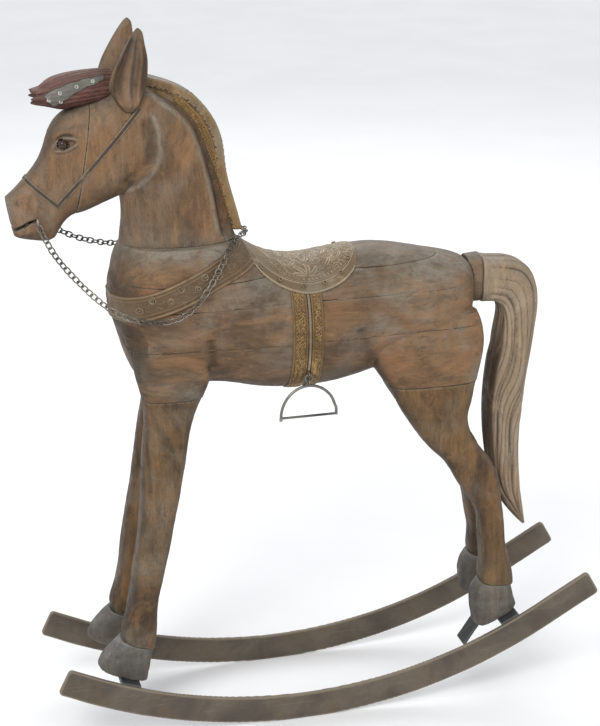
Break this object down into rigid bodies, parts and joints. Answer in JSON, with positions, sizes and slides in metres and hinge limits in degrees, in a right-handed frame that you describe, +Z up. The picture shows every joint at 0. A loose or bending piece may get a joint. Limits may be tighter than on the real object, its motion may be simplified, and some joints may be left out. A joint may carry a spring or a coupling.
{
  "type": "rocking horse",
  "caption": "Carved wooden horse with sheet metal saddle, chain rein and hanging stirrups, standing on two curved flat steel rockers.",
  "frame": {"origin": "on the floor, under the middle of the overall length and between the rockers", "axes": "+Z up, the horse faces -X, +Y to its right side"},
  "size_m": [0.8327, 0.1901, 1.0059],
  "materials": {
    "aged_wood": "hand carved, stained brown with a worn grey wash",
    "grey_hoof_wood": "carved wood with a worn grey wash",
    "red_stained_wood": "carved wood stained dark red",
    "mane_wood": "carved wood with fine hair strokes",
    "dowel_wood": "plain turned dowel",
    "embossed_brass": "thin embossed sheet, aged and browned",
    "gold_strip": "thin textured strip, aged gold",
    "grey_brass_band": "thin strip, grey green patina",
    "tack_steel": "small worn tack heads",
    "bridle_strip": "thin dark brown strip",
    "eye_bead": "dark glossy bead",
    "chain_steel": "plain steel, slightly tarnished",
    "stirrup_steel": "plain round steel wire",
    "rocker_steel": "aged grey brown steel, satin",
    "bar_steel": "aged dark grey steel, satin",
    "screw_steel": "plain steel screw"
  },
  "bodies": {
    "horse": {"back_board": "aged_wood", "belly_board": "aged_wood", "collar": "embossed_brass", "collar_tacks": "tack_steel", "ear_pegs": "dowel_wood", "eye_beads": "eye_bead", "face_block": "aged_wood", "forelock": "red_stained_wood", "forelock_bands": "grey_brass_band", "forelock_tacks": "tack_steel", "front_cross_bar": "bar_steel", "front_girth": "embossed_brass", "hoof_dowels": "dowel_wood", "hoof_screws": "screw_steel", "left_cheek_strip": "bridle_strip", "left_ear": "aged_wood", "left_front_hoof": "grey_hoof_wood", "left_front_leg": "aged_wood", "left_mane_strip": "gold_strip", "left_mouth_ring": "chain_steel", "left_rear_hoof": "grey_hoof_wood", "left_rear_leg": "aged_wood", "left_rocker": "rocker_steel", "left_stirrup_strap": "stirrup_steel", "leg_dowels": "dowel_wood", "mane": "mane_wood", "middle_board": "aged_wood", "neck_block": "aged_wood", "neck_dowels": "dowel_wood", "nose_strip": "bridle_strip", "rear_cross_bar": "bar_steel", "rear_girth": "embossed_brass", "rein_chain": "chain_steel", "right_cheek_strip": "bridle_strip", "right_ear": "aged_wood", "right_front_hoof": "grey_hoof_wood", "right_front_leg": "aged_wood", "right_mane_strip": "gold_strip", "right_mouth_ring": "chain_steel", "right_rear_hoof": "grey_hoof_wood", "right_rear_leg": "aged_wood", "right_rocker": "rocker_steel", "right_stirrup_strap": "stirrup_steel", "saddle": "embossed_brass", "saddle_tacks": "tack_steel", "tail": "aged_wood", "tail_dock": "aged_wood", "tail_dowel": "dowel_wood", "tip_stop": "bar_steel", "upper_board": "aged_wood"},
    "left_ring": {"left_stirrup_ring": "stirrup_steel"},
    "left_bow": {"left_stirrup": "stirrup_steel"},
    "right_ring": {"right_stirrup_ring": "stirrup_steel"},
    "right_bow": {"right_stirrup": "stirrup_steel"}
  },
  "joints": [
    {"name": "left_ring_swing", "type": "hinge", "parent": "horse", "child": "left_ring", "pos_m": [-0.025, -0.075, 0.5234], "axis": [0, 1, 0], "range_deg": [-35, 35]},
    {"name": "left_stirrup_swing", "type": "hinge", "parent": "left_ring", "child": "left_bow", "pos_m": [-0.025, -0.075, 0.5155], "axis": [-1, 0, 0], "range_deg": [-15, 85]},
    {"name": "right_ring_swing", "type": "hinge", "parent": "horse", "child": "right_ring", "pos_m": [-0.025, 0.075, 0.5234], "axis": [0, 1, 0], "range_deg": [-35, 35]},
    {"name": "right_stirrup_swing", "type": "hinge", "parent": "right_ring", "child": "right_bow", "pos_m": [-0.025, 0.075, 0.5155], "axis": [1, 0, 0], "range_deg": [-15, 85]}
  ]
}
